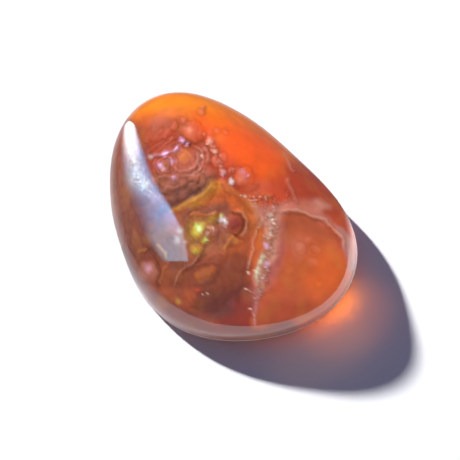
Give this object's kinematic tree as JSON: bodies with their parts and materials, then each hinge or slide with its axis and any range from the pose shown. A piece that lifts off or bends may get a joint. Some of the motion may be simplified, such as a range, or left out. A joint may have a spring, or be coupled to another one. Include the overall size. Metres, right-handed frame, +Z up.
{
  "type": "fire agate",
  "caption": "Polished free-form cabochon of fire agate: an egg-shaped, high-domed stone on a flat back, steep at its narrow end and sloping to its broad end.",
  "frame": {"origin": "on the surface the stone rests on, under the middle of its bounding box", "axes": "+Z up from the flat back; +X along the stone, from its high narrow end to its low broad end; +Y across it"},
  "size_m": [0.025, 0.0196, 0.0117],
  "materials": {
    "stone": "polished"
  },
  "bodies": {
    "root": {"fire_agate": "stone"}
  },
  "joints": []
}
